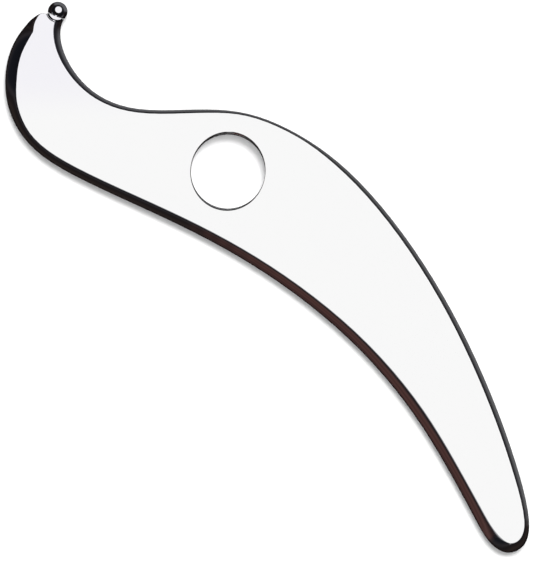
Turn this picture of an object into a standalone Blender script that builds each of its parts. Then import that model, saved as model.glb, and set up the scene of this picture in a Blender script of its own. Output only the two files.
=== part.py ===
"""Gua sha scraper: a solid stainless steel hand tool that lies flat on a table.

Frame: +Z up, +X from the ball end to the blade's tip, +Y towards the blade's convex edge. The origin is
at the centre of the tool's box, on the surface that it lies on. Run it in Blender's text editor or with
blender --background --python part.py.
"""

import math

import bmesh
import bpy
import numpy as np
from mathutils import Matrix, Vector

MM = 0.001
COLLECTION_NAME = "gua_sha_scraper"
CUTTER_COLLECTION_NAME = "cutters"

# The blade's overall sizes
TOOL_LENGTH = 205.8 * MM
TOOL_WIDTH = 61.6 * MM
PLATE_THICKNESS = 6.0 * MM

# The blade's outline, drawn in millimetres on a sheet of DRAWN_LENGTH by DRAWN_WIDTH, anticlockwise as seen
# from above. The third number is the width of the bevel there.
DRAWN_LENGTH = 205.8
DRAWN_WIDTH = 61.6
HOOK_BACK = (
    (-102.2, -2.8, 0.1),
    (-102.75, -4.8, 1.1),
    (-102.9, -7.2, 2.85),
    (-101.5, -14.2, 3.55),
    (-96.5, -22.2, 3.6),
    (-88.5, -28.2, 2.85),
    (-77.5, -30.75, 2.3),
)
CONCAVE_EDGE = (
    (-63.0, -27.8, 2.4),
    (-40.0, -18.7, 2.5),
    (-18.0, -10.5, 2.6),
    (5.0, -4.6, 2.7),
    (30.0, -1.8, 2.9),
    (54.0, -3.1, 3.0),
    (74.0, -7.1, 2.9),
    (88.0, -10.7, 3.0),
)
BLADE_TIP = (
    (96.0, -12.15, 3.3),
    (101.3, -10.3, 3.05),
    (102.7, -5.5, 2.35),
    (98.5, 0.3, 1.5),
)
CONVEX_EDGE = (
    (84.0, 8.7, 1.7),
    (64.0, 17.2, 1.68),
    (40.0, 24.85, 1.58),
    (14.0, 29.75, 1.44),
    (-10.0, 30.5, 1.32),
    (-27.0, 27.2, 0.84),
    (-41.0, 20.8, 0.8),
)
THROAT = (
    (-52.0, 10.85, 1.14),
    (-63.5, -1.2, 1.2),
    (-74.0, -6.75, 1.4),
    (-84.0, -7.2, 1.7),
    (-92.4, -4.3, 1.95),
)
HORN_END = (
    (-96.2, -0.5, 2.1),
    (-97.0, 1.0, 0.6),
    (-98.3, 0.3, 0.1),
    (-101.3, -2.0, 0.1),
)
OUTLINE = HOOK_BACK + CONCAVE_EDGE + BLADE_TIP + CONVEX_EDGE + THROAT + HORN_END
OUTLINE_STEPS = 5  # straight runs between two drawn points

# The bevel, from the flat face out to the rim: it leaves the face at one angle to it, steepens a little,
# and rolls over into the upright rim. A wide bevel is flatter, so that some upright rim is left.
BEVEL_ANGLE_AT_FACE = math.radians(36)
BEVEL_ANGLE_AT_RIM = math.radians(46)
BEVEL_STEPS = 3
RIM_ROLL_STEPS = 3
RIM_ROLL_SHARE = 0.18  # of the bevel's length
UPRIGHT_RIM = 0.3 * MM  # the least height of the upright rim

# The finger hole
HOLE_DIAMETER = 21.2 * MM
HOLE_CENTRE = (-32.9, 5.4)  # on the drawn sheet, millimetres
HOLE_RIM = 0.35 * MM  # width of the eased rim
HOLE_SIDES = 72

# The ball tip: a ball on a shank, which passes through the collar into the horn
BALL_DIAMETER = 5.6 * MM
BALL_CENTRE = (-99.5, 1.0)  # on the drawn sheet, millimetres
STEM_ANGLE = math.radians(115)  # from +X to the way that the tip points
SHANK_DIAMETER = 1.5 * MM
SHANK_DEPTH_IN_HORN = 8.0 * MM
SHANK_END_CHAMFER = 0.3 * MM
BALL_FLAT_TO_CENTRE = 1.25 * MM  # the ball is turned flat where it faces the collar

# The collar: a ring with a round back that shares the ball's centre, cut by two flats
COLLAR_RADIUS = 2.95 * MM
COLLAR_ACROSS_FLATS = 3.3 * MM

CLEARANCE = 0.3 * MM
SHANK_END = -(COLLAR_RADIUS + CLEARANCE + SHANK_DEPTH_IN_HORN)  # along the stem, from the ball's centre

ROUND_SIDES = 48
BALL_STEPS = 18
BOWL_STEPS = 10
RIM_STEPS = 3
SEAT_SIDES = 64
OVERRUN = 2.0 * MM  # how far a cutter runs past what it cuts

MERGE = 0.00001
SHADE_ANGLE = math.radians(28)

STEEL_COLOUR = (0.62, 0.62, 0.64, 1.0)
STEEL_ROUGHNESS = 0.06


def clear_scene():
    """Remove the objects that the scene starts with."""
    for obj in list(bpy.data.objects):
        bpy.data.objects.remove(obj, do_unlink=True)


def new_collection(name):
    collection = bpy.data.collections.new(name)
    bpy.context.scene.collection.children.link(collection)
    return collection


def steel(name):
    """A polished stainless steel material."""
    material = bpy.data.materials.new(name)
    material.use_nodes = True
    shader = material.node_tree.nodes["Principled BSDF"]
    shader.inputs["Base Color"].default_value = STEEL_COLOUR
    shader.inputs["Metallic"].default_value = 1.0
    shader.inputs["Roughness"].default_value = STEEL_ROUGHNESS
    return material


def new_object(name, mesh, place, collection):
    """An object at a place, from a bmesh, which is freed."""
    data = bpy.data.meshes.new(name)
    mesh.to_mesh(data)
    mesh.free()
    obj = bpy.data.objects.new(name, data)
    obj.matrix_world = place
    collection.objects.link(obj)
    return obj


def finish_part(obj):
    """Give a part its material and smooth shading that keeps its real edges."""
    obj.data.materials.append(steel(f"{obj.name}_steel"))
    obj.data.shade_smooth()
    obj.data.set_sharp_from_angle(angle=SHADE_ANGLE)


def cut(obj, cutter):
    """Cut a shape out of a part, and keep the cutter as a hidden wire helper."""
    cutter.hide_render = True
    cutter.display_type = "WIRE"
    modifier = obj.modifiers.new(f"cut_{cutter.name}", "BOOLEAN")
    modifier.operation = "DIFFERENCE"
    modifier.solver = "EXACT"
    modifier.object = cutter


def closed_curve(points, steps):
    """A smooth closed curve through the points. Their third value follows it without overshooting."""
    count = len(points)
    spans = np.sqrt(np.linalg.norm((np.roll(points, -1, axis=0) - points)[:, :2], axis=1))
    rises = (np.roll(points, -1, axis=0) - points) / spans[:, None]
    slopes = smooth_slopes(rises, spans)
    slopes[:, 2] = steady_slopes(rises[:, 2])
    curve = []
    for index in range(count):
        after = (index + 1) % count
        for step in range(steps):
            t = step / steps
            start = (1 + 2 * t) * (1 - t) ** 2 * points[index] + t**2 * (3 - 2 * t) * points[after]
            pull = t * (1 - t) ** 2 * slopes[index] - t**2 * (1 - t) * slopes[after]
            curve.append(start + spans[index] * pull)
    return np.array(curve)


def smooth_slopes(rises, spans):
    """The slopes at the points that make the closed curve's curvature continuous."""
    count = len(spans)
    behind = np.roll(spans, 1)
    system = np.zeros((count, count))
    rows = np.arange(count)
    system[rows, rows - 1] = spans
    system[rows, rows] = 2 * (spans + behind)
    system[rows, (rows + 1) % count] = behind
    right = 3 * (spans[:, None] * np.roll(rises, 1, axis=0) + behind[:, None] * rises)
    return np.linalg.solve(system, right)


def steady_slopes(rises):
    """Slopes that keep a value between its neighbours: level at a turn, else the harmonic mean."""
    before = np.roll(rises, 1)
    product = before * rises
    steady = product > 0
    total = np.where(steady, before + rises, 1.0)
    return np.where(steady, 2 * product / total, 0.0)


def sheet_to_tool(point):
    """A place on the drawn sheet, in the tool's own metres."""
    return Vector((point[0] * TOOL_LENGTH / DRAWN_LENGTH, point[1] * TOOL_WIDTH / DRAWN_WIDTH, 0.0))


def outline_and_bevel():
    """The blade's outline in metres, its inward normals, and the bevel's width at each point."""
    drawn = closed_curve(np.array(OUTLINE), OUTLINE_STEPS)
    outline = drawn[:, :2] - (drawn[:, :2].max(axis=0) + drawn[:, :2].min(axis=0)) / 2
    outline *= np.array((TOOL_LENGTH, TOOL_WIDTH)) / np.ptp(outline, axis=0)
    along = np.roll(outline, -1, axis=0) - np.roll(outline, 1, axis=0)
    along /= np.linalg.norm(along, axis=1)[:, None]
    inward = np.stack((-along[:, 1], along[:, 0]), axis=1)
    return outline, inward, drawn[:, 2] * MM


def bevel_profile():
    """The bevel's section, as (inward, up) from the rim to the face's edge, for a bevel 1 wide."""
    roll = even_turns(math.pi / 2, BEVEL_ANGLE_AT_RIM, RIM_ROLL_STEPS)
    slope = even_turns(BEVEL_ANGLE_AT_RIM, BEVEL_ANGLE_AT_FACE, BEVEL_STEPS)
    runs = [(turn, RIM_ROLL_SHARE / RIM_ROLL_STEPS) for turn in roll]
    runs += [(turn, (1 - RIM_ROLL_SHARE) / BEVEL_STEPS) for turn in slope]
    section = [(0.0, 0.0)]
    for turn, length in runs:
        inward, up = section[-1]
        section.append((inward + length * math.cos(turn), up + length * math.sin(turn)))
    width = section[-1][0]
    return [(inward / width, up / width) for inward, up in section]


def even_turns(start, end, steps):
    """The angles of straight runs that turn evenly from one angle to another."""
    return [start + (end - start) * (step + 0.5) / steps for step in range(steps)]


def upper_half_of_plate():
    """The plate's upper half, open at its middle plane: the rim, the bevel and the flat face."""
    outline, inward, bevel = outline_and_bevel()
    section = bevel_profile()
    half = PLATE_THICKNESS / 2
    depth = np.minimum(bevel * section[-1][1], half - UPRIGHT_RIM / 2)
    mesh = bmesh.new()
    rings = [[mesh.verts.new((x, y, 0.0)) for x, y in outline]]
    for across, up in section:
        places = outline + inward * (bevel * across)[:, None]
        heights = half - depth * (1 - up / section[-1][1])
        rings.append([mesh.verts.new((x, y, z)) for (x, y), z in zip(places, heights)])
    for lower, upper in zip(rings, rings[1:]):
        for index in range(len(lower)):
            before = index - 1
            mesh.faces.new((lower[before], lower[index], upper[index], upper[before]))
    mesh.faces.new(rings[-1])
    return mesh


def stem_frame():
    """The ball tip's own frame: +Z along the stem and out of the horn, with the ball's centre at zero."""
    centre = sheet_to_tool(BALL_CENTRE)
    centre.z = PLATE_THICKNESS / 2
    out = Vector((math.cos(STEM_ANGLE), math.sin(STEM_ANGLE), 0.0))
    across = Vector((0.0, 0.0, 1.0))
    turn = Matrix((across.cross(out), across, out)).transposed().to_4x4()
    return Matrix.Translation(centre) @ turn


def turned(name, profile, place, collection, sides=ROUND_SIDES):
    """A solid of revolution about the Z axis of a place, from (radius, height) pairs, top to bottom."""
    mesh = bmesh.new()
    chain = [mesh.verts.new((radius, 0.0, height)) for radius, height in profile]
    for above, below in zip(chain, chain[1:]):
        mesh.edges.new((above, below))
    obj = new_object(name, mesh, place, collection)
    screw = obj.modifiers.new("turn", "SCREW")
    screw.axis = "Z"
    screw.steps = screw.render_steps = sides
    screw.use_merge_vertices = True
    screw.merge_threshold = MERGE
    screw.use_smooth_shade = True
    return obj


def arc(radius, start, end, steps):
    """(radius, height) pairs on a circle about the origin, by angle from the axis."""
    angles = [start + (end - start) * step / steps for step in range(steps + 1)]
    return [(radius * math.sin(angle), radius * math.cos(angle)) for angle in angles]


def seat_cutter(collection):
    """The horn's seat: a round cut through the plate about the ball, open the way the tip points."""
    radius = COLLAR_RADIUS + CLEARANCE
    reach = BALL_DIAMETER + OVERRUN
    mesh = bmesh.new()
    bmesh.ops.create_cone(mesh, cap_ends=True, segments=SEAT_SIDES, radius1=radius, radius2=radius,
                          depth=PLATE_THICKNESS + 2 * OVERRUN)
    for vert in mesh.verts:
        if vert.co.x > -MERGE:
            vert.co.x += reach
    place = Matrix.Translation(stem_frame().translation) @ Matrix.Rotation(STEM_ANGLE, 4, "Z")
    return new_object("horn_seat", mesh, place, collection)


def bore_cutter(collection):
    """The blind bore in the horn for the shank."""
    radius = SHANK_DIAMETER / 2 + CLEARANCE
    bottom = SHANK_END - CLEARANCE
    profile = [(0.0, 0.0), (radius, 0.0), (radius, bottom), (0.0, bottom)]
    return turned("shank_bore", profile, stem_frame(), collection)


def hole_cutter(collection):
    """The finger hole, wider at both faces for its eased rims."""
    half = PLATE_THICKNESS / 2
    radius = HOLE_DIAMETER / 2
    mouth = radius + HOLE_RIM
    above = half + OVERRUN
    upper = [(0.0, above), (mouth, above)]
    upper += [(mouth - HOLE_RIM * math.sin(turn), half - HOLE_RIM * (1 - math.cos(turn)))
              for turn in (math.pi / 2 * step / RIM_STEPS for step in range(RIM_STEPS + 1))]
    lower = [(across, -up) for across, up in reversed(upper)]
    place = Matrix.Translation(sheet_to_tool(HOLE_CENTRE) + Vector((0.0, 0.0, half)))
    return turned("finger_hole", upper + lower, place, collection, HOLE_SIDES)


def make_blade(parts, cutters):
    """The blade: a plate bevelled all round, with the finger hole, the horn's seat and its bore."""
    middle = Matrix.Translation((0.0, 0.0, PLATE_THICKNESS / 2))
    blade = new_object("scraper_blade", upper_half_of_plate(), middle, parts)
    mirror = blade.modifiers.new("lower_half", "MIRROR")
    mirror.use_axis = (False, False, True)
    mirror.merge_threshold = MERGE
    cut(blade, hole_cutter(cutters))
    cut(blade, seat_cutter(cutters))
    cut(blade, bore_cutter(cutters))
    finish_part(blade)
    return blade


def make_collar(parts, cutters):
    """The collar: a turned ring with a round back, and a flat ground on it above and below."""
    front = -(BALL_FLAT_TO_CENTRE + CLEARANCE)
    bore = SHANK_DIAMETER / 2 + CLEARANCE
    back = math.pi - math.asin(bore / COLLAR_RADIUS)
    bowl = arc(COLLAR_RADIUS, math.acos(front / COLLAR_RADIUS), back, BOWL_STEPS)
    ring = [(bore, front)] + bowl + [(bore, front)]
    collar = turned("seat_collar", ring, stem_frame(), parts)
    for side, label in ((1, "upper"), (-1, "lower")):
        cut(collar, flat_cutter(label, side, cutters))
    finish_part(collar)
    return collar


def flat_cutter(label, side, collection):
    """The block that grinds one flat on the collar."""
    mesh = bmesh.new()
    bmesh.ops.create_cube(mesh, size=1.0)
    block = Vector((3 * COLLAR_RADIUS, 2 * COLLAR_RADIUS, 3 * COLLAR_RADIUS))
    bmesh.ops.scale(mesh, vec=block, verts=mesh.verts)
    reach = COLLAR_ACROSS_FLATS / 2 + COLLAR_RADIUS
    place = stem_frame() @ Matrix.Translation((0.0, side * reach, -COLLAR_RADIUS))
    return new_object(f"{label}_flat", mesh, place, collection)


def make_ball_tip(parts):
    """The ball tip: the ball, turned flat towards the collar, on a shank that ends in the horn."""
    radius = BALL_DIAMETER / 2
    shank = SHANK_DIAMETER / 2
    ball = arc(radius, 0.0, math.acos(-BALL_FLAT_TO_CENTRE / radius), BALL_STEPS)
    profile = ball + [
        (shank, -BALL_FLAT_TO_CENTRE),
        (shank, SHANK_END + SHANK_END_CHAMFER),
        (shank - SHANK_END_CHAMFER, SHANK_END),
        (0.0, SHANK_END),
    ]
    tip = turned("ball_tip", profile, stem_frame(), parts)
    finish_part(tip)
    return tip


def main():
    clear_scene()
    parts = new_collection(COLLECTION_NAME)
    cutters = new_collection(CUTTER_COLLECTION_NAME)
    cutters.hide_render = True
    make_blade(parts, cutters)
    make_collar(parts, cutters)
    make_ball_tip(parts)


main()
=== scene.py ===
"""Looks for a polished steel massage scraper: a bevelled blade whose horn holds a collar and a ball.

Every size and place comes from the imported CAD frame. The three pieces are modelled again with finer
meshes, so that their bevels and rounds reflect cleanly, and a studio of soft light is set round them.
"""

import logging
import math
from collections.abc import Iterable, Sequence
from dataclasses import dataclass
from enum import Enum

import bmesh
import bpy
import numpy as np
from mathutils import Matrix, Vector


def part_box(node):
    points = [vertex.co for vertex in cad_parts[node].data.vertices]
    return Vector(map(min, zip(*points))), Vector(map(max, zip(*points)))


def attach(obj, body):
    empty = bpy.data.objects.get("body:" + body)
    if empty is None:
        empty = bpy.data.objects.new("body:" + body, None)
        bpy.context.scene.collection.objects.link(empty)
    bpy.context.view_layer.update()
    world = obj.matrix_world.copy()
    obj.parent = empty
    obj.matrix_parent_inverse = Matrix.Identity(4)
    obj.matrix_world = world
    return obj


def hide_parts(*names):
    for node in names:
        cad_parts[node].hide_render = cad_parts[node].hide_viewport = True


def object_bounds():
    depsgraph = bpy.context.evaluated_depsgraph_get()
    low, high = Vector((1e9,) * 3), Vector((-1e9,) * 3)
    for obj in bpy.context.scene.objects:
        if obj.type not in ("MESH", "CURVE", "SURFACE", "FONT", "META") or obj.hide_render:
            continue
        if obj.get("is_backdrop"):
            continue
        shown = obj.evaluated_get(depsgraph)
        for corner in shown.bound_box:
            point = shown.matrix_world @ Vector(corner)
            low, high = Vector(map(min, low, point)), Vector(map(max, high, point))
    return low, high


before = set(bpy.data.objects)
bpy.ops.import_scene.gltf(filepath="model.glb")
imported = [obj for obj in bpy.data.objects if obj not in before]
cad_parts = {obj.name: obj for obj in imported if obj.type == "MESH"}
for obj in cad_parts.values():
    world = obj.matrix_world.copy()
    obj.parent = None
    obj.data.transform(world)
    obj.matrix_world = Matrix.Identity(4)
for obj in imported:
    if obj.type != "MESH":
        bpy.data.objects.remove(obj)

MM = 0.001
MERGE = 0.00001  # corners nearer to each other than this are one
LOG = logging.getLogger("scraper")
CURVE_STEPS = 24  # places worked out between two points of a smoothed curve
MOUTH_SLOPES = (math.radians(37), math.radians(46))  # a hole's chamfer, at the face and inside
MOUTH_ROLL = 0.2  # the share of a hole's easing that rolls over into its wall
ALL_ROUND = 180.0
BLACK = (0.0, 0.0, 0.0, 1.0)
WHITE = (1.0, 1.0, 1.0, 1.0)


class Face(Enum):
    """The two sides that the tool can lie on, as the sign of their height above its middle plane."""

    UPPER = 1
    LOWER = -1


class Lay(Enum):
    """The way that the polishing marks run on a piece."""

    ALONG_EDGE = "along the edge, as the blade is drawn over the wheel"
    ROUND_STEM = "round the stem, as the piece turns in a lathe"


# Small helpers


def srgb(code: str) -> tuple[float, float, float, float]:
    """Turn an sRGB hex colour into the linear colour that the shaders take.

    Args:
        code: six hex digits after a hash.

    Returns:
        The linear red, green and blue, and an alpha of 1.
    """
    shares = [int(code[start:start + 2], 16) / 255 for start in (1, 3, 5)]
    linear = [c / 12.92 if c <= 0.04045 else ((c + 0.055) / 1.055) ** 2.4 for c in shares]
    return (*linear, 1.0)


def add_node(tree: bpy.types.NodeTree, kind: str, inputs: dict | None = None, **settings) -> bpy.types.Node:
    """Add one node, with its settings, and set or link its inputs.

    Args:
        tree: the node tree that gets the node.
        kind: the node's Blender type.
        inputs: input names or numbers, each with a value or with the socket that feeds it.
        **settings: the node's own properties.

    Returns:
        The new node.
    """
    node = tree.nodes.new(kind)
    for name, value in settings.items():
        setattr(node, name, value)
    for name, value in (inputs or {}).items():
        if isinstance(value, bpy.types.NodeSocket):
            tree.links.new(value, node.inputs[name])
        else:
            node.inputs[name].default_value = value
    return node


def cut_out(piece: bpy.types.Object, cutters: Iterable[bpy.types.Object]) -> None:
    """Cut shapes out of a piece, for good, and remove them.

    Args:
        piece: the piece to cut.
        cutters: closed solids that reach past what they cut.
    """
    cutters = list(cutters)
    for cutter in cutters:
        modifier = piece.modifiers.new(cutter.name, "BOOLEAN")
        modifier.operation = "DIFFERENCE"
        modifier.solver = "EXACT"
        modifier.object = cutter
    bpy.context.view_layer.update()
    evaluated = piece.evaluated_get(bpy.context.evaluated_depsgraph_get())
    shaped = bpy.data.meshes.new_from_object(evaluated)
    piece.modifiers.clear()
    piece.data = shaped
    shaped.name = piece.name
    for cutter in cutters:
        bpy.data.objects.remove(cutter, do_unlink=True)


def shade(piece: bpy.types.Object, sharp_from: float) -> None:
    """Shade a piece smoothly, with its flats kept flat and its real edges kept sharp.

    Args:
        piece: the piece.
        sharp_from: the angle, in radians, from which an edge stays sharp.
    """
    piece.data.shade_smooth()
    piece.data.set_sharp_from_angle(angle=sharp_from)
    weighted = piece.modifiers.new("flats_stay_flat", "WEIGHTED_NORMAL")
    weighted.keep_sharp = True


def round_run(radius: float, start: float, end: float, steps: int) -> list[tuple[float, float]]:
    """Places on a circle about the origin of a profile.

    Args:
        radius: the circle's radius.
        start: the first angle from the axis, in radians.
        end: the last angle.
        steps: how many straight runs it is drawn with.

    Returns:
        (radius, height) pairs.
    """
    angles = np.linspace(start, end, steps + 1)
    return [(radius * math.sin(angle), radius * math.cos(angle)) for angle in angles]


def mouth_run(radius: float, height: float, easing: float, steps: int) -> list[tuple[float, float]]:
    """The eased edge of a hole that goes through a face: a chamfer that rolls over into the wall.

    Args:
        radius: the hole's radius.
        height: the face's height.
        easing: how far the edge is eased along the face.
        steps: how many straight runs the chamfer is drawn with, and the roll again.

    Returns:
        (radius, height) pairs, from the face to the wall.
    """
    first, last = MOUTH_SLOPES
    chamfer = np.linspace(first, last, steps)
    over = np.linspace(last, math.pi / 2, steps + 2)[1:-1]
    across = np.concatenate((np.full(steps, (1 - MOUTH_ROLL) / steps),
                             MOUTH_ROLL * np.cos(over) / np.cos(over).sum()))
    down = across * np.tan(np.concatenate((chamfer, over)))
    places = np.vstack((np.zeros(2), np.cumsum(np.stack((across, down), axis=1), axis=0)))
    return [(radius + easing * (1 - out), height - easing * fall) for out, fall in places]


# Measuring the frame


def node_points(name: str) -> np.ndarray:
    """Give a CAD node's corners.

    Args:
        name: the node's name.

    Returns:
        One row of x, y and z for each corner, in metres.
    """
    return np.array([vert.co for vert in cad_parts[name].data.vertices])


def level_sections(name: str, height: float) -> list[np.ndarray]:
    """Cut a copy of a CAD node with a level plane.

    Args:
        name: the node's name.
        height: the plane's height.

    Returns:
        The closed outlines in the plane, the longest first, each an array of x and y.
    """
    mesh = bmesh.new()
    mesh.from_mesh(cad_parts[name].data)
    bmesh.ops.remove_doubles(mesh, verts=mesh.verts, dist=MERGE / 10)
    everything = [*mesh.verts, *mesh.edges, *mesh.faces]
    found = bmesh.ops.bisect_plane(mesh, geom=everything, dist=MERGE / 100, plane_co=(0, 0, height),
                                   plane_no=(0, 0, 1))["geom_cut"]
    edges = {edge for edge in found if isinstance(edge, bmesh.types.BMEdge)}
    loops = []
    while edges:
        edge = edges.pop()
        first, vert = edge.verts
        loop = [first, vert]
        while vert is not first:
            edge = next(other for other in vert.link_edges if other in edges)
            edges.remove(edge)
            vert = edge.other_vert(vert)
            loop.append(vert)
        loops.append(np.array([vert.co[:2] for vert in loop[:-1]]))
    mesh.free()
    return sorted(loops, key=lambda loop: -loop_length(loop))


def loop_length(loop: np.ndarray) -> float:
    """Add up the length of a closed outline."""
    return float(np.linalg.norm(np.roll(loop, -1, axis=0) - loop, axis=1).sum())


def smooth_through(points: np.ndarray, count: int) -> np.ndarray:
    """Run a closed curve of continuous curvature through points, and space it evenly.

    Args:
        points: one row for each point: x, y and any values that ride along.
        count: how many places to give on the curve.

    Returns:
        The places, at equal steps along the curve.
    """
    ahead = np.roll(points, -1, axis=0)
    spans = np.linalg.norm((ahead - points)[:, :2], axis=1)
    rises = (ahead - points) / spans[:, None]
    behind = np.roll(spans, 1)
    rows = np.arange(len(points))
    system = np.zeros((len(points), len(points)))
    system[rows, rows - 1] = spans
    system[rows, rows] = 2 * (spans + behind)
    system[rows, (rows + 1) % len(points)] = behind
    wanted_slopes = 3 * (spans[:, None] * np.roll(rises, 1, axis=0) + behind[:, None] * rises)
    slopes = np.linalg.solve(system, wanted_slopes)
    next_slopes = np.roll(slopes, -1, axis=0)
    share = np.linspace(0.0, 1.0, CURVE_STEPS, endpoint=False)[None, :, None]
    base = points[:, None] * (1 + 2 * share) * (1 - share) ** 2 + ahead[:, None] * share**2 * (3 - 2 * share)
    pull = slopes[:, None] * share * (1 - share) ** 2 - next_slopes[:, None] * share**2 * (1 - share)
    dense = (base + spans[:, None, None] * pull).reshape(-1, points.shape[1])
    closed = np.vstack((dense, dense[:1]))
    run = np.concatenate(([0.0], np.cumsum(np.linalg.norm(np.diff(closed[:, :2], axis=0), axis=1))))
    wanted = np.linspace(0.0, run[-1], count, endpoint=False)
    return np.stack([np.interp(wanted, run, column) for column in closed.T], axis=1)


def signed_area(loop: np.ndarray) -> float:
    """Give a closed outline's area, which is negative if the outline runs clockwise."""
    ahead = np.roll(loop, -1, axis=0)
    return float((loop[:, 0] * ahead[:, 1] - ahead[:, 0] * loop[:, 1]).sum() / 2)


def distance_from_chain(points: np.ndarray, chain: np.ndarray) -> np.ndarray:
    """Give each point's distance from a closed chain of straight runs.

    Args:
        points: rows of x and y.
        chain: the chain's corners.

    Returns:
        The distances.
    """
    runs = np.roll(chain, -1, axis=0) - chain
    away = points[:, None] - chain[None]
    share = np.clip((away * runs).sum(axis=2) / (runs**2).sum(axis=1), 0.0, 1.0)
    return np.linalg.norm(away - share[..., None] * runs, axis=2).min(axis=1)


@dataclass(frozen=True)
class Stem:
    """The line that the ball, the collar and the horn's bore share, and the sizes that fit on it.

    The place puts a piece's own Z axis on the line, with its origin at the ball's centre and its Y axis
    upright.
    """

    place: Matrix
    ball_radius: float
    ball_back: float
    shank_radius: float
    shank_end: float
    collar_radius: float
    collar_front: float
    collar_bore: float
    collar_half_flats: float
    seat_radius: float

    @classmethod
    def measured(cls) -> "Stem":
        """Measure the stem on the CAD nodes.

        Returns:
            The stem, with heights along it counted from the ball's centre, out of the horn.
        """
        low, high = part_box("ball_tip")
        radius = (high.z - low.z) / 2
        centre = Vector((low.x + radius, high.y - radius, (low.z + high.z) / 2))
        tip = node_points("ball_tip")
        reach = np.linalg.norm(tip - np.array(centre), axis=1)
        end_face = reach > reach.max() - 0.1 * MM
        tail = Vector(tip[end_face].mean(axis=0))
        out = (centre - tail).normalized()
        across = Vector((0.0, 0.0, 1.0))
        turn = Matrix((across.cross(out), across, out)).transposed().to_4x4()
        place = Matrix.Translation(centre) @ turn
        tip_radii, tip_heights = cls.seen_along(place, tip)
        collar_radii, collar_heights = cls.seen_along(place, node_points("seat_collar"))
        on_shank = tip_heights < tip_heights.min() / 2
        on_ball = tip_heights > tip_heights.min() / 4
        flats_low, flats_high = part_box("seat_collar")
        blade = node_points("scraper_blade")
        return cls(
            place=place,
            ball_radius=radius,
            ball_back=float(tip_heights[on_ball].min()),
            shank_radius=float(tip_radii[on_shank].max()),
            shank_end=float(tip_heights.min()),
            collar_radius=float(np.hypot(collar_radii, collar_heights).max()),
            collar_front=float(collar_heights.max()),
            collar_bore=float(collar_radii.min()),
            collar_half_flats=(flats_high.z - flats_low.z) / 2,
            seat_radius=float(np.linalg.norm(blade[:, :2] - np.array(centre)[:2], axis=1).min()),
        )

    @staticmethod
    def seen_along(place: Matrix, points: np.ndarray) -> tuple[np.ndarray, np.ndarray]:
        """Give points' distances from a place's axis and their heights along it."""
        local = points @ np.array(place.inverted().to_3x3()).T + np.array(place.inverted().translation)
        return np.hypot(local[:, 0], local[:, 1]), local[:, 2]

    @property
    def clearance(self) -> float:
        """The gap that the frame leaves between pieces that touch."""
        return self.seat_radius - self.collar_radius


# Finishes


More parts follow.
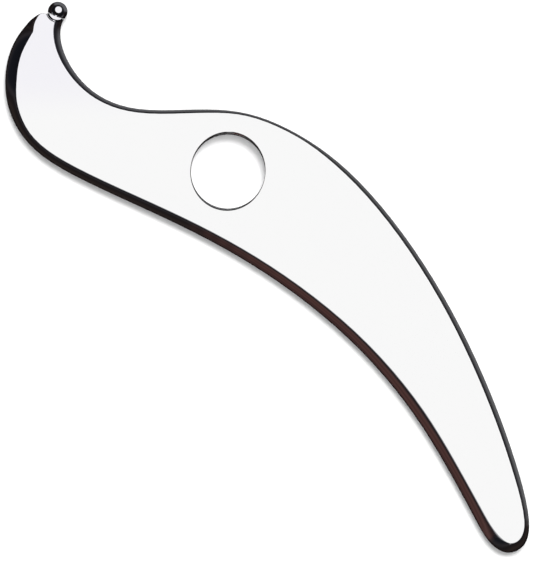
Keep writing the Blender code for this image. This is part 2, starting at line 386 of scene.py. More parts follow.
@dataclass(frozen=True)
class PolishedSteel:
    """Austenitic stainless steel, ground to shape and buffed on cloth wheels to a mirror.

    The eye gets a near-perfect mirror with slow ripples from the hand-held buffing, and very fine hazy
    marks that run the way the wheel did. The base colour also carries a painted reflection: it cools
    towards the horn, standing in for the cooler light that the mirror shows there.
    """

    name: str
    slot: str
    lay: Lay
    colour: str = "#CECECE"
    # painted reflection: the base colour turns a cool grey towards the horn, standing in for cooler reflected
    # light
    painted_reflection_colour: str = "#CAC9CD"
    painted_reflection_way: tuple[float, float, float] = (0.73, -0.68, 0.0)  # away from the horn
    painted_reflection_from: float = -41.0 * MM
    painted_reflection_to: float = -55.0 * MM
    drift: float = 0.04  # how far the cast comes and goes
    drift_range: tuple[float, float] = (0.35, 0.65)  # of the haze
    roughness: float = 0.035
    haze_roughness: float = 0.03
    haze_range: tuple[float, float] = (0.1, 0.45)  # of the haze times the marks
    haze_size: float = 14.0 * MM
    ripple_size: float = 9.0 * MM
    ripple_height: float = 0.006 * MM
    mark_length: float = 14.0 * MM
    mark_width: float = 0.35 * MM  # the real ones are a tenth of this, too fine to see
    mark_height: float = 0.0012 * MM

    def dress(self, piece: bpy.types.Object, stem: Stem) -> None:
        """Give the finish to a piece.

        Args:
            piece: the piece, with a UV map named grind where its marks run along an edge.
            stem: the stem that turned pieces were turned about.
        """
        material = bpy.data.materials.new(self.name)
        material.use_nodes = True
        tree = material.node_tree
        shader = tree.nodes["Principled BSDF"]
        place = add_node(tree, "ShaderNodeTexCoord").outputs["Object"]
        marks = self.marks(tree, stem)
        haze = add_node(tree, "ShaderNodeTexNoise", {"Vector": place, "Scale": 1 / self.haze_size,
                                                     "Detail": 3.0})
        ripple = add_node(tree, "ShaderNodeTexNoise", {"Vector": place, "Scale": 1 / self.ripple_size,
                                                       "Detail": 1.0, "Roughness": 0.3})
        tree.links.new(self.colour_with_painted_reflection(tree, place, haze), shader.inputs["Base Color"])
        worn = add_node(tree, "ShaderNodeMath", {0: haze.outputs["Fac"], 1: marks}, operation="MULTIPLY")
        rough = add_node(tree, "ShaderNodeMapRange", {
            "Value": worn.outputs[0], "From Min": self.haze_range[0], "From Max": self.haze_range[1],
            "To Min": self.roughness, "To Max": self.roughness + self.haze_roughness})
        tree.links.new(rough.outputs[0], shader.inputs["Roughness"])
        shader.inputs["Metallic"].default_value = 1.0
        rippled = add_node(tree, "ShaderNodeBump", {"Height": ripple.outputs["Fac"],
                                                    "Distance": self.ripple_height})
        marked = add_node(tree, "ShaderNodeBump", {"Height": marks, "Distance": self.mark_height,
                                                   "Normal": rippled.outputs[0]})
        tree.links.new(marked.outputs[0], shader.inputs["Normal"])
        piece.data.materials.clear()
        piece.data.materials.append(material)

    def marks(self, tree: bpy.types.NodeTree, stem: Stem) -> bpy.types.NodeSocket:
        """Add the buffing marks: noise drawn out along the way that the wheel ran.

        Args:
            tree: the material's nodes.
            stem: the stem that turned pieces were turned about.

        Returns:
            The marks' height, from 0 to 1.
        """
        along, across = 1 / self.mark_length, 1 / self.mark_width
        if self.lay is Lay.ALONG_EDGE:
            source = add_node(tree, "ShaderNodeUVMap", uv_map="grind").outputs[0]
            spread = add_node(tree, "ShaderNodeMapping", {"Vector": source, "Scale": (along, across, 1.0)})
        else:
            source = add_node(tree, "ShaderNodeTexCoord").outputs["Object"]
            upright = stem.place.inverted()
            seated = add_node(tree, "ShaderNodeMapping", {"Vector": source, "Location": upright.translation,
                                                          "Rotation": upright.to_euler()})
            spread = add_node(tree, "ShaderNodeMapping", {"Vector": seated.outputs[0],
                                                          "Scale": (along, along, across)})
        noise = add_node(tree, "ShaderNodeTexNoise", {"Vector": spread.outputs[0], "Scale": 1.0,
                                                      "Detail": 2.0})
        return noise.outputs["Fac"]

    def colour_with_painted_reflection(self, tree: bpy.types.NodeTree, place: bpy.types.NodeSocket,
             haze: bpy.types.Node) -> bpy.types.NodeSocket:
        """Add the steel's colour, which cools towards the horn and drifts a little with the haze.

        Args:
            tree: the material's nodes.
            place: the piece's own coordinates.
            haze: the noise that the haze follows.

        Returns:
            The colour.
        """
        # painted reflection: the colour cools towards the horn, where the mirror shows cooler light, and the
        # haze shifts it a little at random
        run = add_node(tree, "ShaderNodeVectorMath", {0: place, 1: self.painted_reflection_way}, operation="DOT_PRODUCT")
        painted_reflection_share = add_node(tree, "ShaderNodeMapRange", {
            "Value": run.outputs["Value"], "From Min": self.painted_reflection_from, "From Max": self.painted_reflection_to},
            interpolation_type="SMOOTHSTEP")
        drift = add_node(tree, "ShaderNodeMapRange", {
            "Value": haze.outputs["Fac"], "From Min": self.drift_range[0], "From Max": self.drift_range[1],
            "To Min": -self.drift, "To Max": self.drift})
        blend = add_node(tree, "ShaderNodeMath", {0: painted_reflection_share.outputs[0], 1: drift.outputs[0]},
                         operation="ADD", use_clamp=True)
        mixed = add_node(tree, "ShaderNodeMix", {0: blend.outputs[0], 6: srgb(self.colour),
                                                 7: srgb(self.painted_reflection_colour)}, data_type="RGBA")
        return mixed.outputs[2]


# The pieces


def turned(profile: Sequence[tuple[float, float]], sides: int) -> bmesh.types.BMesh:
    """Turn a profile about the Z axis, as on a lathe.

    Args:
        profile: (radius, height) pairs. It is closed from its last place to its first unless both are
            on the axis.
        sides: the facets in a full turn.

    Returns:
        The turned solid, facing outwards.
    """
    mesh = bmesh.new()
    chain = [mesh.verts.new((radius, 0.0, height)) for radius, height in profile]
    edges = [mesh.edges.new(pair) for pair in zip(chain, chain[1:])]
    if profile[0][0] > 0 and profile[-1][0] > 0:
        edges.append(mesh.edges.new((chain[-1], chain[0])))
    bmesh.ops.spin(mesh, geom=chain + edges, cent=(0, 0, 0), axis=(0, 0, 1), dvec=(0, 0, 0), angle=math.tau,
                   steps=sides, use_merge=True, use_normal_flip=False, use_duplicate=False)
    bmesh.ops.remove_doubles(mesh, verts=mesh.verts, dist=MERGE)
    bmesh.ops.recalc_face_normals(mesh, faces=mesh.faces)
    return mesh


def placed(name: str, mesh: bmesh.types.BMesh, place: Matrix) -> bpy.types.Object:
    """Move a shape to its place and make it an object, which sits at the origin.

    Args:
        name: the object's name.
        mesh: the shape, which is freed.
        place: where the shape's own origin and axes go.

    Returns:
        The new object.
    """
    bmesh.ops.transform(mesh, matrix=place, verts=mesh.verts)
    data = bpy.data.meshes.new(name)
    mesh.to_mesh(data)
    mesh.free()
    piece = bpy.data.objects.new(name, data)
    bpy.context.scene.collection.objects.link(piece)
    return piece


def ease(mesh: bmesh.types.BMesh, edges: Iterable[bmesh.types.BMEdge], width: float) -> None:
    """Take the sharpness off edges, as a buffing wheel does.

    Args:
        mesh: the shape.
        edges: its edges to ease.
        width: how wide the eased edge is, on each side.
    """
    bmesh.ops.bevel(mesh, geom=list(edges), offset=width, offset_type="OFFSET", segments=3, profile=0.5,
                    affect="EDGES", material=-1, clamp_overlap=True)


@dataclass
class Blade:
    """The blade: a plate bevelled all round, with a finger hole, and a seat and a bore in its horn."""

    stem: Stem
    finish: PolishedSteel
    node: str = "scraper_blade"
    places_round: int = 1100
    upright_rim: float = 0.3 * MM
    closing_lead: float = 0.25  # how early the outline turns to close over the seat, as a share of its width
    roll_share: float = 0.18  # of the bevel's length, where it rolls over into the rim
    crease_share: float = 0.03  # and where it turns flat into the face
    angle_at_rim: float = math.radians(46)
    angle_at_wide_rim: float = math.radians(40)  # where the bevel is too wide for the plate's thickness
    angle_at_face: float = math.radians(36)
    roll_steps: int = 8
    slope_steps: int = 8
    crease_steps: int = 5
    mouth_easing: float = 0.72 * MM
    mouth_steps: int = 6
    mouth_heading: float = math.radians(127)  # where the hand-eased mouth is widest
    mouth_narrowing: float = 0.82
    hole_sides: int = 192
    seat_sides: int = 128
    seat_easing: float = 0.3 * MM
    seat_easing_steps: int = 3
    seat_drawn_out: float = 4.0  # in radii, so that the seat's cutter leaves nothing beyond the horn
    seam: float = 0.05 * MM  # the collar is brazed into the seat
    bore_sides: int = 48
    overrun: float = 2.0 * MM
    sharp_from: float = math.radians(30)

    def build(self) -> bpy.types.Object:
        """Make the blade.

        Returns:
            The blade, dressed and standing for its CAD node.
        """
        low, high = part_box(self.node)
        middle = (low.z + high.z) / 2
        half = high.z - middle
        mesh = self.plate(self.measured_outline(middle, high.z), half)
        upright = Matrix.Translation((0.0, 0.0, middle))
        blade = placed("blade", mesh, upright)
        cut_out(blade, [self.hole(half, middle), self.seat(half, middle), self.bore()])
        shade(blade, self.sharp_from)
        self.finish.dress(blade, self.stem)
        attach(blade, "root")
        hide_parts(self.node)
        return blade

    def measured_outline(self, middle: float, top: float) -> np.ndarray:
        """Measure the CAD plate's outline and bevel, and close it over the horn's seat and bore.

        Args:
            middle: the height of the plate's middle plane.
            top: the height of its upper face.

        Returns:
            Rows of x, y and bevel width, evenly spaced and anticlockwise.
        """
        outline = level_sections(self.node, middle + self.upright_rim / 4)[0]
        if signed_area(outline) < 0:
            outline = outline[::-1]
        centre = np.array(self.stem.place.translation)[:2]
        out = np.array(self.stem.place.to_3x3().col[2])[:2]
        away = outline - centre
        reach = away @ out
        beside = np.abs(away[:, 0] * out[1] - away[:, 1] * out[0])
        bore = self.stem.shank_radius + 2 * self.stem.clearance
        cut = (np.hypot(*away.T) < self.stem.seat_radius + self.stem.clearance / 10)
        cut |= (beside < bore) & (reach < 0) & (reach > self.stem.shank_end - 2 * self.stem.clearance)
        start = int(np.flatnonzero(~cut & np.roll(cut, 1))[0])
        whole = np.roll(outline, 1 - start, axis=0)[:int((~cut).sum()) + 2]
        widths = distance_from_chain(whole, level_sections(self.node, top - self.upright_rim / 30)[0])
        lead = self.closing_lead * float(np.linalg.norm(whole[0] - whole[-1]))
        ends = ((whole[-1], whole[-1] - whole[-2]), (whole[0], whole[0] - whole[1]))
        turns = [corner + lead * run / np.linalg.norm(run) for corner, run in ends]
        crown = (turns[0] + turns[1]) / 2 + lead * out
        closing = np.array([turns[0], crown, turns[1]])
        points = np.vstack((whole, closing))
        bevel = np.concatenate((widths, np.full(len(closing), min(widths[0], widths[-1]))))
        even = smooth_through(np.column_stack((points, bevel)), self.places_round)
        even[:, 2] = np.clip(even[:, 2], widths.min(), widths.max())
        return even

    def section(self, angle_at_rim: float) -> np.ndarray:
        """Draw the bevel's section for a bevel 1 wide.

        Args:
            angle_at_rim: the bevel's slope where it rolls over into the rim, in radians.

        Returns:
            Rows of distance inward, height and length run, from the rim to the flat face.
        """
        slope_share = 1 - self.roll_share - self.crease_share
        stretches = (
            (math.pi / 2, angle_at_rim, self.roll_share, self.roll_steps),
            (angle_at_rim, self.angle_at_face, slope_share, self.slope_steps),
            (self.angle_at_face, 0.0, self.crease_share, self.crease_steps),
        )
        rows = [np.zeros(3)]
        for start, end, share, steps in stretches:
            for step in range(steps):
                turn = start + (end - start) * (step + 0.5) / steps
                rows.append(rows[-1] + share / steps * np.array((math.cos(turn), math.sin(turn), 1.0)))
        return np.array(rows) / rows[-1][0]

    def plate(self, outline: np.ndarray, half: float) -> bmesh.types.BMesh:
        """Draw the upper half up from the rim, ring by ring, and mirror it.

        The bevel keeps the steep section until it has no room left in the plate's thickness, and from there
        it goes over to the shallow one.

        Args:
            outline: rows of x, y and bevel width.
            half: half of the plate's thickness.

        Returns:
            The whole plate about its middle plane, with a UV map in metres: along the edge and across the
            bevel, or x and y on the flats.
        """
        along = np.roll(outline[:, :2], -1, axis=0) - np.roll(outline[:, :2], 1, axis=0)
        along /= np.linalg.norm(along, axis=1)[:, None]
        inward = np.stack((-along[:, 1], along[:, 0]), axis=1)
        width = outline[:, 2]
        steep, shallow = self.section(self.angle_at_rim), self.section(self.angle_at_wide_rim)
        room = half - self.upright_rim / 2
        spare = width * steep[-1, 1] - room
        blend = np.clip(spare / (width * (steep[-1, 1] - shallow[-1, 1])), 0.0, 1.0)
        rings = steep[:, None] + blend[:, None] * (shallow - steep)[:, None]
        depth = np.minimum(width * rings[-1, :, 1], room)
        mesh = bmesh.new()
        order = mesh.verts.layers.int.new("order")
        level = mesh.verts.layers.int.new("level")
        ring = [mesh.verts.new((x, y, 0.0)) for x, y in outline[:, :2]]
        for index, vert in enumerate(ring):
            vert[order] = index
        edges = [mesh.edges.new((ring[index - 1], ring[index])) for index in range(len(ring))]
        for number, places in enumerate(rings, start=1):
            grown = bmesh.ops.extrude_edge_only(mesh, edges=edges)["geom"]
            fresh = {item for item in grown if isinstance(item, bmesh.types.BMVert)}
            for vert in fresh:
                index = vert[order]
                vert[level] = number
                across, up, _ = places[index]
                x, y = outline[index, :2] + inward[index] * width[index] * across
                vert.co = (x, y, half - depth[index] * (1 - up / rings[-1, index, 1]))
            edges = [item for item in grown
                     if isinstance(item, bmesh.types.BMEdge) and fresh.issuperset(item.verts)]
        bmesh.ops.contextual_create(mesh, geom=edges)
        self.map_edges(mesh, outline, steep)
        everything = [*mesh.verts, *mesh.edges, *mesh.faces]
        bmesh.ops.mirror(mesh, geom=everything, axis="Z", merge_dist=MERGE)
        bmesh.ops.recalc_face_normals(mesh, faces=mesh.faces)
        return mesh

    def map_edges(self, mesh: bmesh.types.BMesh, outline: np.ndarray, section: np.ndarray) -> None:
        """Lay the UV map that the buffing marks follow.

        Args:
            mesh: the upper half of the plate, whose corners know their place in the outline and their ring.
            outline: rows of x, y and bevel width.
            section: the bevel's section, for a bevel 1 wide.
        """
        order = mesh.verts.layers.int["order"]
        level = mesh.verts.layers.int["level"]
        grind = mesh.loops.layers.uv.new("grind")
        count = len(outline)
        step = loop_length(outline[:, :2]) / count
        for face in mesh.faces:
            flat = len(face.verts) > 4
            closes = not flat and {0, count - 1} <= {vert[order] for vert in face.verts}
            for loop in face.loops:
                if flat:
                    loop[grind].uv = loop.vert.co.xy
                    continue
                index = loop.vert[order]
                run = section[max(loop.vert[level] - 1, 0), 2] * outline[index, 2]
                loop[grind].uv = (step * (count if closes and index == 0 else index), run)

    def hole(self, half: float, middle: float) -> bpy.types.Object:
        """Make the finger hole's cutter, wider at both faces for its eased mouth.

        The mouth is eased by hand, so it is wide along the mouth's heading and narrow across it.

        Args:
            half: half of the plate's thickness.
            middle: the height of its middle plane.

        Returns:
            The cutter.
        """
        rim = level_sections(self.node, middle)[1]
        centre = (rim.max(axis=0) + rim.min(axis=0)) / 2
        radius = float(np.linalg.norm(rim - centre, axis=1).mean())
        upper = [(0.0, half + self.overrun), (radius + self.mouth_easing, half + self.overrun)]
        upper += mouth_run(radius, half, self.mouth_easing, self.mouth_steps)
        mesh = turned(upper + [(across, -up) for across, up in reversed(upper)], self.hole_sides)
        for vert in mesh.verts:
            reach = vert.co.xy.length
            if reach > radius + MERGE:
                off_heading = math.atan2(vert.co.y, vert.co.x) - self.mouth_heading
                keep = 1 - self.mouth_narrowing * math.sin(off_heading) ** 2
                vert.co.xy *= (radius + (reach - radius) * keep) / reach
                if abs(vert.co.z) < half:
                    vert.co.z += (1 - keep) * math.copysign(half - abs(vert.co.z), vert.co.z)
        return placed("finger_hole", mesh, Matrix.Translation((*centre, middle)))

    def seat(self, half: float, middle: float) -> bpy.types.Object:
        """Make the seat's cutter: a round about the ball's centre, drawn out the way the tip points.

        Args:
            half: half of the plate's thickness.
            middle: the height of its middle plane.

        Returns:
            The cutter.
        """
        radius = self.stem.collar_radius + self.seam
        upper = [(0.0, half + self.overrun), (radius + self.seat_easing, half + self.overrun)]
        upper += mouth_run(radius, half, self.seat_easing, self.seat_easing_steps)
        mesh = turned(upper + [(across, -up) for across, up in reversed(upper)], self.seat_sides)
        out = self.stem.place.to_3x3().col[2]
        heading = math.atan2(out.y, out.x)
        for vert in mesh.verts:
            if vert.co.x > MERGE:
                vert.co.x += self.seat_drawn_out * radius
        centre = self.stem.place.translation
        place = Matrix.Translation((centre.x, centre.y, middle)) @ Matrix.Rotation(heading, 4, "Z")
        return placed("horn_seat", mesh, place)

    def bore(self) -> bpy.types.Object:
        """Make the cutter of the blind bore that the shank goes into.

        Returns:
            The cutter.
        """
        radius = self.stem.shank_radius + self.stem.clearance
        end = self.stem.shank_end - self.stem.clearance
        profile = [(0.0, 0.0), (radius, 0.0), (radius, end), (0.0, end)]
        return placed("shank_bore", turned(profile, self.bore_sides), self.stem.place)


@dataclass
class SeatCollar:
    """The collar: a turned ring with a round back, and a flat ground on it above and below."""

    stem: Stem
    finish: PolishedSteel
    node: str = "seat_collar"
    sides: int = 128
    bowl_steps: int = 24  # along the round back
    easing: float = 0.05 * MM
    sharp_from: float = math.radians(30)

    def build(self) -> bpy.types.Object:
        """Make the collar.

        Returns:
            The collar, dressed and standing for its CAD node.
        """
        radius, bore, front = self.stem.collar_radius, self.stem.collar_bore, self.stem.collar_front
        back = math.pi - math.asin(bore / radius)
        bowl = round_run(radius, math.acos(front / radius), back, self.bowl_steps)
        mesh = turned([(bore, front), *bowl], self.sides)
        for face in Face:
            self.grind_flat(mesh, face)
        collar = placed("collar", mesh, self.stem.place)
        shade(collar, self.sharp_from)
        self.finish.dress(collar, self.stem)
        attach(collar, "root")
        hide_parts(self.node)
        return collar

    def grind_flat(self, mesh: bmesh.types.BMesh, face: Face) -> None:
        """Grind one flat on the ring, and ease its edges.

        Args:
            mesh: the ring in its own axes, with Y across the blade's faces.
            face: which flat.
        """
        side = face.value
        depth = self.stem.collar_half_flats
        bmesh.ops.bisect_plane(mesh, geom=[*mesh.verts, *mesh.edges, *mesh.faces], dist=MERGE / 10,
                               plane_co=(0, side * depth, 0), plane_no=(0, side, 0), clear_outer=True)
        rim = [edge for edge in mesh.edges if edge.is_boundary]
        bmesh.ops.holes_fill(mesh, edges=rim)
        bmesh.ops.recalc_face_normals(mesh, faces=mesh.faces)
        ease(mesh, rim, self.easing)


@dataclass
class BallTip:
    """The ball tip: a ball turned flat behind, on a shank that goes into the horn."""

    stem: Stem
    finish: PolishedSteel
    node: str = "ball_tip"
    sides: int = 160
    ball_steps: int = 64
    easing: float = 0.08 * MM
    shank_end_easing: float = 0.3 * MM
    sharp_from: float = math.radians(35)

    def build(self) -> bpy.types.Object:
        """Make the ball tip.

        Returns:
            The tip, dressed and standing for its CAD node.
        """
        radius, back, shank = self.stem.ball_radius, self.stem.ball_back, self.stem.shank_radius
        ball = round_run(radius, 0.0, math.acos(back / radius), self.ball_steps)
        end = self.stem.shank_end
        profile = [*ball, (shank, back), (shank, end), (0.0, end)]
        mesh = turned(profile, self.sides)
        back_edge = self.ring_at(mesh, ball[-1][0], back)
        shank_edge = self.ring_at(mesh, shank, end)
        ease(mesh, back_edge, self.easing)
        ease(mesh, shank_edge, self.shank_end_easing)
        tip = placed("ball", mesh, self.stem.place)
        shade(tip, self.sharp_from)
        self.finish.dress(tip, self.stem)
        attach(tip, "root")
        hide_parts(self.node)
        return tip

    @staticmethod
    def ring_at(mesh: bmesh.types.BMesh, radius: float, height: float) -> list[bmesh.types.BMEdge]:
        """Give the edges that run round a turned shape at a radius and a height."""
        return [edge for edge in mesh.edges if all(
            abs(vert.co.xy.length - radius) < MERGE and abs(vert.co.z - height) < MERGE
            for vert in edge.verts)]


# The studio


@dataclass(frozen=True)
class Wall:
    """A stretch of wall round the tool, and the colour that it gives in the steel at each height.

    Each stop is a height in degrees above the horizon and the colour that it gives. The wall goes all round,
    or as far as its reach to either side of its heading, with a soft edge. Heading, reach and edge are in
    degrees, and the heading is counted from the side of the blade's hollow edge towards its narrow end.
    """

    stops: tuple[tuple[float, str], ...]
    heading: float = 0.0
    reach: float = ALL_ROUND
    edge: float = 0.0
    shine: float = 0.61  # the share of light that the steel gives back

    def hang(self, tree: bpy.types.NodeTree, way: bpy.types.NodeSocket,
             behind: bpy.types.NodeSocket | None) -> bpy.types.NodeSocket:
        """Hang the wall in front of what hangs there already.

        Args:
            tree: the nodes of the world or of a reflector.
            way: the direction that is looked in.
            behind: the light of what hangs behind, or None for the dark.

        Returns:
            The light with the wall in front.
        """
        split = add_node(tree, "ShaderNodeSeparateXYZ", {0: way})
        lowest, highest = (math.sin(math.radians(self.stops[end][0])) for end in (0, -1))
        height = add_node(tree, "ShaderNodeMapRange", {"Value": split.outputs["Z"], "From Min": lowest,
                                                       "From Max": highest})
        ramp = add_node(tree, "ShaderNodeValToRGB", {0: height.outputs[0]})
        elements = ramp.color_ramp.elements
        while len(elements) < len(self.stops):
            elements.new(0.5)
        for element, (degrees, code) in zip(elements, self.stops):
            element.position = (math.sin(math.radians(degrees)) - lowest) / (highest - lowest)
            element.color = (*(share / self.shine for share in srgb(code)[:3]), 1.0)
        if self.reach >= ALL_ROUND:
            return ramp.outputs["Color"]
        turn = math.radians(self.heading)
        middle = (math.sin(turn), -math.cos(turn), 0.0)
        level = add_node(tree, "ShaderNodeVectorMath", {0: way, 1: (1.0, 1.0, 0.0)}, operation="MULTIPLY")
        unit = add_node(tree, "ShaderNodeVectorMath", {0: level.outputs[0]}, operation="NORMALIZE")
        near = add_node(tree, "ShaderNodeVectorMath", {0: unit.outputs[0], 1: middle},
                        operation="DOT_PRODUCT")
        share = add_node(tree, "ShaderNodeMapRange", {
            "Value": near.outputs["Value"], "From Min": math.cos(math.radians(self.reach + self.edge)),
            "From Max": math.cos(math.radians(self.reach - self.edge))}, interpolation_type="SMOOTHSTEP")
        hung = add_node(tree, "ShaderNodeMix", {0: share.outputs[0], 6: behind or BLACK,
                                                7: ramp.outputs["Color"]}, data_type="RGBA")
        return hung.outputs[2]


# The room. It stays dark up to the soft box, so that the bevels read nearly black.
DARK_ROOM = Wall((
    (-90.0, "#121012"),
    (-8.0, "#161213"),
    (1.5, "#282220"),
    (6.5, "#1F1A1A"),
    (10.0, "#1A1718"),
    (13.0, "#2A2729"),
    (16.0, "#15161B"),
    (25.0, "#0E0F13"),
    (90.0, "#161514"),
))
# A stained wooden card beside the hollow edge, whose grain shows in the bevel as lighter and darker streaks.
WOODEN_CARD = Wall((
    (-90.0, "#000000"),
    (-14.0, "#000000"),
    (-5.0, "#1E0E0D"),
    (0.0, "#351C1B"),
    (3.0, "#210B0C"),
    (7.0, "#472C29"),
    (9.5, "#36211E"),
    (12.5, "#452822"),
    (15.5, "#29150D"),
    (18.5, "#000000"),
    (90.0, "#000000"),
), heading=9.5, reach=13.0, edge=3.5)
# A grey wall on the side of the full edge.
PALE_WALL = Wall((
    (-90.0, "#5C5C5E"),
    (-8.0, "#606062"),
    (1.5, "#5E5E60"),
    (6.5, "#464648"),
    (12.0, "#262628"),
    (17.0, "#202125"),
    (25.0, "#121317"),
    (90.0, "#18191C"),
), heading=-165.0, reach=56.0, edge=12.0)
WALLS = (DARK_ROOM, PALE_WALL)
# The reflectors keep the flats bright for an eye at the side, and start higher than what the bevels reflect.
HIGH_REFLECTORS = Wall((
    (-90.0, "#000000"),
    (18.5, "#000000"),
    (21.0, "#868688"),
    (27.0, "#ACACAE"),
    (34.0, "#C8C8CA"),
    (50.0, "#D8D8DA"),
    (66.0, "#C0C0C2"),
    (80.0, "#000000"),
    (90.0, "#000000"),
))
# Beside the horn the bevels are wide, and these start higher still.
HOOK_REFLECTORS = Wall((
    (-90.0, "#000000"),
    (23.5, "#000000"),
    (27.5, "#949496"),
    (34.0, "#C4C4C6"),
    (50.0, "#D8D8DA"),
    (66.0, "#C0C0C2"),
    (80.0, "#000000"),
    (90.0, "#000000"),
), heading=-65.0, reach=38.0, edge=10.0)
# A narrow one, which brings the light down beside the narrow end.
LOW_REFLECTOR = Wall((
    (-90.0, "#000000"),
    (11.5, "#000000"),
    (13.5, "#808082"),
    (16.5, "#9C9C9E"),
    (24.0, "#C0C0C2"),
    (50.0, "#D8D8DA"),
    (66.0, "#C0C0C2"),
    (80.0, "#000000"),
    (90.0, "#000000"),
), heading=45.0, reach=3.0, edge=3.0)
REFLECTORS = (HIGH_REFLECTORS, HOOK_REFLECTORS, LOW_REFLECTOR)


@dataclass
class Studio:
    """A pale floor, a soft box tilted overhead, walls, reflectors, and a camera that looks straight down."""

    aim: tuple[float, float] = (-2.6 * MM, -7.8 * MM)  # beside the tool's centre
    tool_turn: float = math.radians(47)
    camera_height: float = 1.6
    sensor: float = 36.0
    view_height: float = 160.3 * MM
    floor_size: float = 12.0
    floor_drop: float = 0.02 * MM  # the floor stays clear of the tool's lower face
    box_heading: tuple[float, float] = (-0.28, 0.95)
    box_tilt: float = math.radians(23)
    box_half_angle: float = math.radians(39)
    box_edge: float = math.radians(1.5)
    box_brightness: float = 1.52
    sun_heading: tuple[float, float] = (-0.47, 0.88)
    sun_height: float = math.radians(68)
    sun_angle: float = math.radians(21)
    sun_strength: float = 2.1
    fill_strength: float = 0.8
    dome_radius: float = 4.0
    card_place: tuple[float, float, float] = (45.0 * MM, -150.0 * MM, 10.0 * MM)
    card_size: float = 160.0 * MM
    card_eye: tuple[float, float, float] = (35.0 * MM, -5.0 * MM, 3.0 * MM)  # its heights are seen from here

    def build(self) -> None:
        """Set the whole studio up."""
        self.set_floor()
        self.set_camera()
        self.set_lights()
        self.set_surroundings()
        bpy.context.scene.view_settings.view_transform = "Standard"

    def set_floor(self) -> None:
        """Lay the floor that the tool lies on: matt white board."""
        mesh = bmesh.new()
        bmesh.ops.create_grid(mesh, x_segments=8, y_segments=8, size=self.floor_size / 2)
        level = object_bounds()[0].z - self.floor_drop
        floor = placed("floor", mesh, Matrix.Translation((0.0, 0.0, level)))
        material = bpy.data.materials.new("matt_white_board")
        material.use_nodes = True
        shader = material.node_tree.nodes["Principled BSDF"]
        shader.inputs["Base Color"].default_value = srgb("#F2F2F2")
        shader.inputs["Roughness"].default_value = 1.0
        shader.inputs["Specular IOR Level"].default_value = 0.0
        floor.data.materials.append(material)
        floor.visible_glossy = False
        floor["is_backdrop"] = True

    def set_camera(self) -> None:
        """Hang a long-lensed camera over the tool."""
        camera = bpy.data.cameras.new("camera")
        middle = (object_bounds()[0].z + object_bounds()[1].z) / 2
        camera.sensor_width = self.sensor
        camera.lens = self.sensor * (self.camera_height - middle) / self.view_height
        holder = bpy.data.objects.new("camera", camera)
        holder.location = (*self.aim, self.camera_height)
        holder.rotation_euler = (0.0, 0.0, self.tool_turn)
        bpy.context.scene.collection.objects.link(holder)
        bpy.context.scene.camera = holder

    def set_lights(self) -> None:
        """Add the soft key light that draws the tool's shadow on the floor, and the fill that lightens it."""
        for name, strength, height in (("key_light", self.sun_strength, self.sun_height),
                                       ("fill_light", self.fill_strength, math.pi / 2)):
            lamp = bpy.data.lights.new(name, "SUN")
            lamp.energy = strength
            lamp.angle = self.sun_angle
            lamp.use_shadow = name == "key_light"
            holder = bpy.data.objects.new(name, lamp)
            holder.rotation_euler = self.pointing(self.sun_heading, height).to_track_quat("Z", "Y").to_euler()
            holder.visible_glossy = False
            bpy.context.scene.collection.objects.link(holder)

    @staticmethod
    def pointing(heading: tuple[float, float], height: float) -> Vector:
        """Give the unit vector towards a heading, at a height in radians above the horizon."""
        flat = Vector(heading).normalized() * math.cos(height)
        return Vector((flat.x, flat.y, math.sin(height)))

    def set_surroundings(self) -> None:
        """Set the room that the steel reflects: the soft box overhead, and the walls all round.

        The camera sees plain white where the floor ends.
        """
        world = bpy.data.worlds.new("studio")
        world.use_nodes = True
        bpy.context.scene.world = world
        tree = world.node_tree
        tree.nodes.clear()
        way = add_node(tree, "ShaderNodeTexCoord").outputs["Generated"]
        room = None
        for wall in WALLS:
            room = wall.hang(tree, way, room)
        axis = self.pointing(self.box_heading, math.pi / 2 - self.box_tilt)
        facing = add_node(tree, "ShaderNodeVectorMath", {0: way, 1: axis}, operation="DOT_PRODUCT")
        box = add_node(tree, "ShaderNodeMapRange", {
            "Value": facing.outputs["Value"], "From Min": math.cos(self.box_half_angle + self.box_edge),
            "From Max": math.cos(self.box_half_angle - self.box_edge)}, interpolation_type="SMOOTHSTEP")
        bright = (self.box_brightness,) * 3 + (1.0,)
        lights = add_node(tree, "ShaderNodeMix", {0: box.outputs[0], 6: room, 7: bright}, data_type="RGBA")
        seen = add_node(tree, "ShaderNodeLightPath").outputs["Is Camera Ray"]
        shown = add_node(tree, "ShaderNodeMix", {0: seen, 6: lights.outputs[2], 7: WHITE}, data_type="RGBA")
        glow = add_node(tree, "ShaderNodeBackground", {"Color": shown.outputs[2], "Strength": 1.0})
        add_node(tree, "ShaderNodeOutputWorld", {"Surface": glow.outputs[0]})

    def light_blade(self, blade: bpy.types.Object) -> None:
        """Hang the reflectors round the blade, and stand the wooden card beside it.

        They light the blade alone: the ball and the collar would show them as stray glints.

        Args:
            blade: the piece that they light.
        """
        lit = bpy.data.collections.new("lit_by_reflectors")
        lit.objects.link(blade)
        dome = bmesh.new()
        bmesh.ops.create_uvsphere(dome, u_segments=48, v_segments=24, radius=self.dome_radius)
        self.reflector("reflectors", dome, Vector(), REFLECTORS, lit)
        card = bmesh.new()
        bmesh.ops.create_grid(card, x_segments=1, y_segments=1, size=self.card_size / 2)
        bmesh.ops.rotate(card, matrix=Matrix.Rotation(math.pi / 2, 3, "X"), verts=card.verts)
        bmesh.ops.translate(card, vec=self.card_place, verts=card.verts)
        self.reflector("wooden_card", card, Vector(self.card_eye), (WOODEN_CARD,), lit)

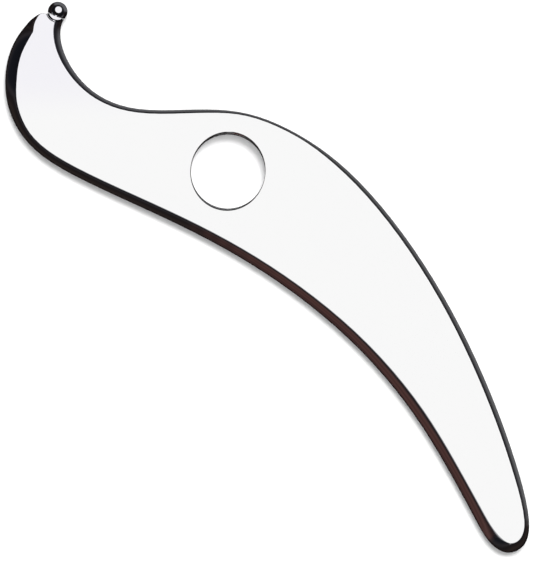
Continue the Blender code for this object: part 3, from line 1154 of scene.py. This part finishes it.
    @staticmethod
    def reflector(name: str, mesh: bmesh.types.BMesh, eye: Vector, walls: Sequence[Wall],
                  lit: bpy.types.Collection) -> None:
        """Hang one reflector, which adds its light to the room's and hides nothing.

        Args:
            name: the reflector's name.
            mesh: its shape, which is freed.
            eye: the place from which its walls are laid out.
            walls: what it shows, each laid over the one before.
            lit: the pieces that it lights.
        """
        hung = placed(name, mesh, Matrix.Identity(4))
        material = bpy.data.materials.new(name)
        material.use_nodes = True
        tree = material.node_tree
        tree.nodes.clear()
        place = add_node(tree, "ShaderNodeTexCoord").outputs["Object"]
        away = add_node(tree, "ShaderNodeVectorMath", {0: place, 1: eye}, operation="SUBTRACT")
        way = add_node(tree, "ShaderNodeVectorMath", {0: away.outputs[0]}, operation="NORMALIZE").outputs[0]
        light = None
        for wall in walls:
            light = wall.hang(tree, way, light)
        glow = add_node(tree, "ShaderNodeEmission", {"Color": light})
        clear = add_node(tree, "ShaderNodeBsdfTransparent")
        both = add_node(tree, "ShaderNodeAddShader", {0: glow.outputs[0], 1: clear.outputs[0]})
        add_node(tree, "ShaderNodeOutputMaterial", {"Surface": both.outputs[0]})
        hung.data.materials.append(material)
        hung.visible_camera = hung.visible_diffuse = hung.visible_shadow = False
        hung.light_linking.receiver_collection = lit
        hung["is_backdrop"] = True


BLADE_STEEL = PolishedSteel("buffed_blade_steel", "blade_steel", Lay.ALONG_EDGE)
COLLAR_STEEL = PolishedSteel("buffed_collar_steel", "collar_steel", Lay.ROUND_STEM, mark_width=0.12 * MM)
TIP_STEEL = PolishedSteel("buffed_tip_steel", "tip_steel", Lay.ROUND_STEM, mark_width=0.15 * MM)


def main() -> None:
    logging.basicConfig(level=logging.INFO, format="%(name)s: %(message)s")
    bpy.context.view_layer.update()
    studio = Studio()
    studio.build()
    stem = Stem.measured()
    makers = (Blade(stem, BLADE_STEEL), SeatCollar(stem, COLLAR_STEEL), BallTip(stem, TIP_STEEL))
    pieces = [maker.build() for maker in makers]
    studio.light_blade(pieces[0])
    for piece, maker in zip(pieces, makers):
        LOG.info("%s stands for %s: %d faces", piece.name, maker.node, len(piece.data.polygons))


if __name__ == "__main__":
    main()
